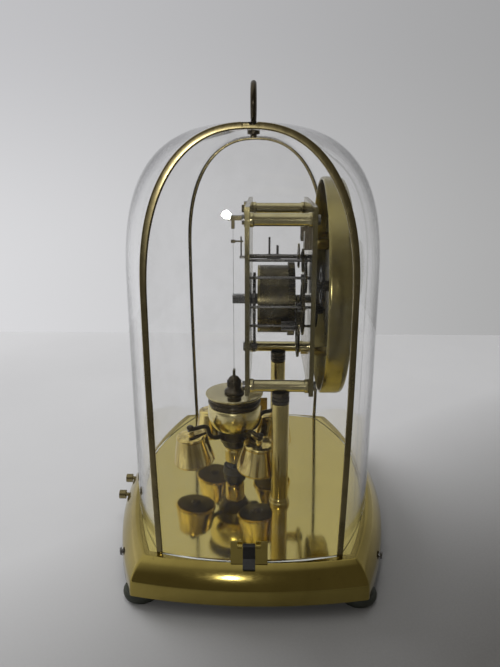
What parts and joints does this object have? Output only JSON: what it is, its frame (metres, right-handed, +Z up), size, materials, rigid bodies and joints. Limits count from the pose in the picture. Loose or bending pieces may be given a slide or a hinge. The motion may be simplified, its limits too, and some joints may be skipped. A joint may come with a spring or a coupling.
{
  "type": "anniversary clock",
  "caption": "Torsion-pendulum anniversary clock: brass plate movement and round dial over a rotating bell-weight pendulum, under an arched lifting glass case on a bow-sided base.",
  "frame": {"origin": "table level, under the middle of the clock's footprint", "axes": "+X to the right as you face the dial, +Y towards the back, +Z up"},
  "size_m": [0.179, 0.143, 0.2271],
  "materials": {
    "base_brass": "polished pressed sheet, lightly worn",
    "mirror_floor": "mirror polished",
    "black_steel": "black lacquer",
    "rubber": "matte",
    "steel": "satin",
    "brass": "polished and lacquered",
    "plate_brass": "brushed, slightly tarnished",
    "dark_bronze": "dark tarnished",
    "dial_silver": "matte silvered",
    "glass": "clear"
  },
  "bodies": {
    "stand": {"base_shell": "base_brass", "floor_plate": "mirror_floor", "underplate": "black_steel", "feet": "rubber", "base_screws": "steel", "guide_cup": "brass", "lock_guide": "steel", "support_columns": "brass", "column_collars": "dark_bronze", "back_plate": "plate_brass", "front_plate": "plate_brass", "top_pillars": "brass", "bottom_pillars": "brass", "plate_screws": "steel", "dial_lock_blocks": "dark_bronze", "dial": "dial_silver", "bezel": "brass", "dial_feet": "brass", "motion_studs": "steel", "suspension_bracket": "plate_brass", "suspension_spring": "steel", "click_spring": "steel"},
    "lock": {"lock_slide": "brass"},
    "winding": {"winding_arbor": "steel", "ratchet_wheel": "steel"},
    "click_body": {"click": "steel"},
    "barrel_body": {"barrel": "plate_brass", "barrel_cap": "plate_brass", "mainspring": "dark_bronze"},
    "first_arbor": {"first_wheel": "plate_brass", "first_pinion": "steel"},
    "second_arbor": {"second_wheel": "plate_brass", "second_pinion": "steel"},
    "minute_drive": {"minute_arbor": "steel", "minute_arbor_wheels": "plate_brass"},
    "third_arbor": {"third_wheel": "plate_brass", "third_pinion": "steel"},
    "escape_arbor": {"escape_wheel": "plate_brass", "escape_pinion": "steel"},
    "anchor_body": {"anchor": "steel"},
    "minute_hand_body": {"minute_pipe": "plate_brass", "minute_hand": "brass", "hand_nut": "brass"},
    "minute_wheel_body": {"minute_wheel": "plate_brass"},
    "hour_hand_body": {"hour_wheel": "plate_brass", "hour_hand": "brass"},
    "fork_body": {"fork": "plate_brass"},
    "pendulum": {"pendulum_hook": "dark_bronze", "rating_disc": "brass", "pendulum_bowl": "brass", "pendulum_neck": "dark_bronze", "weight_arms": "dark_bronze", "bell_weights": "brass"},
    "case": {"case_glass": "glass", "side_panes": "glass", "case_strips": "dark_bronze", "carrying_ring": "dark_bronze", "side_clips": "brass"},
    "latch_left_body": {"latch_left": "black_steel"},
    "latch_right_body": {"latch_right": "black_steel"}
  },
  "joints": [
    {"name": "lift_case", "type": "slide", "parent": "stand", "child": "case", "axis": [0, 0, 1], "range_m": [0, 0.2]},
    {"name": "latch_left_hinge", "type": "hinge", "parent": "case", "child": "latch_left_body", "pos_m": [-0.08355, -0.0022, 0.0322], "axis": [0, 1, 0], "range_deg": [0, 75]},
    {"name": "latch_right_hinge", "type": "hinge", "parent": "case", "child": "latch_right_body", "pos_m": [0.08355, -0.0022, 0.0322], "axis": [0, -1, 0], "range_deg": [0, 75]},
    {"name": "lock_pendulum", "type": "slide", "parent": "stand", "child": "lock", "axis": [0, 1, 0], "range_m": [0, 0.003]},
    {"name": "wind_mainspring", "type": "hinge", "parent": "stand", "child": "winding", "pos_m": [0.01, -0.015, 0.1196], "axis": [0, 1, 0], "continuous": true},
    {"name": "click_pivot", "type": "hinge", "parent": "stand", "child": "click_body", "pos_m": [0.01, -0.015, 0.093], "axis": [0, 1, 0], "range_deg": [0, 6], "stiffness_Nm_per_rad": 0.002},
    {"name": "minute_hand_turn", "type": "hinge", "parent": "stand", "child": "minute_hand_body", "pos_m": [0, -0.015, 0.1287], "axis": [0, 1, 0], "continuous": true},
    {"name": "minute_drive_turn", "type": "hinge", "parent": "stand", "child": "minute_drive", "pos_m": [-0.014, -0.015, 0.13544], "axis": [0, 1, 0], "continuous": true},
    {"name": "second_arbor_turn", "type": "hinge", "parent": "stand", "child": "second_arbor", "pos_m": [-0.02, -0.015, 0.12215], "axis": [0, 1, 0], "continuous": true},
    {"name": "first_arbor_turn", "type": "hinge", "parent": "stand", "child": "first_arbor", "pos_m": [-0.0085, -0.015, 0.10962], "axis": [0, 1, 0], "continuous": true},
    {"name": "barrel_turn", "type": "hinge", "parent": "stand", "child": "barrel_body", "pos_m": [0.01, -0.015, 0.1196], "axis": [0, 1, 0], "continuous": true},
    {"name": "third_arbor_turn", "type": "hinge", "parent": "stand", "child": "third_arbor", "pos_m": [-0.01477, -0.015, 0.14416], "axis": [0, 1, 0], "continuous": true},
    {"name": "escape_arbor_turn", "type": "hinge", "parent": "stand", "child": "escape_arbor", "pos_m": [-0.00789, -0.015, 0.14545], "axis": [0, 1, 0], "continuous": true},
    {"name": "minute_wheel_turn", "type": "hinge", "parent": "stand", "child": "minute_wheel_body", "pos_m": [0, -0.015, 0.1167], "axis": [0, 1, 0], "continuous": true},
    {"name": "hour_hand_turn", "type": "hinge", "parent": "stand", "child": "hour_hand_body", "pos_m": [0, -0.015, 0.1287], "axis": [0, 1, 0], "continuous": true},
    {"name": "pendulum_twist", "type": "hinge", "parent": "stand", "child": "pendulum", "pos_m": [0, 0.008, 0.074], "axis": [0, 0, 1], "range_deg": [-135, 135], "stiffness_Nm_per_rad": 0.0001, "deforming": ["suspension_spring"]},
    {"name": "fork_twist", "type": "hinge", "parent": "stand", "child": "fork_body", "pos_m": [0, 0.008, 0.1514], "axis": [0, 0, 1], "range_deg": [-8.5, 8.5]},
    {"name": "anchor_rock", "type": "hinge", "parent": "stand", "child": "anchor_body", "pos_m": [0, -0.015, 0.1434], "axis": [0, 1, 0], "range_deg": [-4.3, 4.3]}
  ],
  "couplings": [
    {"joint": "minute_drive_turn", "follows": "minute_hand_turn", "ratio": -1},
    {"joint": "second_arbor_turn", "follows": "minute_hand_turn", "ratio": 0.125},
    {"joint": "first_arbor_turn", "follows": "minute_hand_turn", "ratio": -0.015625},
    {"joint": "barrel_turn", "follows": "minute_hand_turn", "ratio": 0.0017361},
    {"joint": "third_arbor_turn", "follows": "minute_hand_turn", "ratio": 4},
    {"joint": "escape_arbor_turn", "follows": "minute_hand_turn", "ratio": -12},
    {"joint": "minute_wheel_turn", "follows": "minute_hand_turn", "ratio": -0.33333},
    {"joint": "hour_hand_turn", "follows": "minute_hand_turn", "ratio": 0.083333},
    {"joint": "fork_twist", "follows": "pendulum_twist", "ratio": 0.0625},
    {"joint": "anchor_rock", "follows": "pendulum_twist", "ratio": 0.03125}
  ]
}
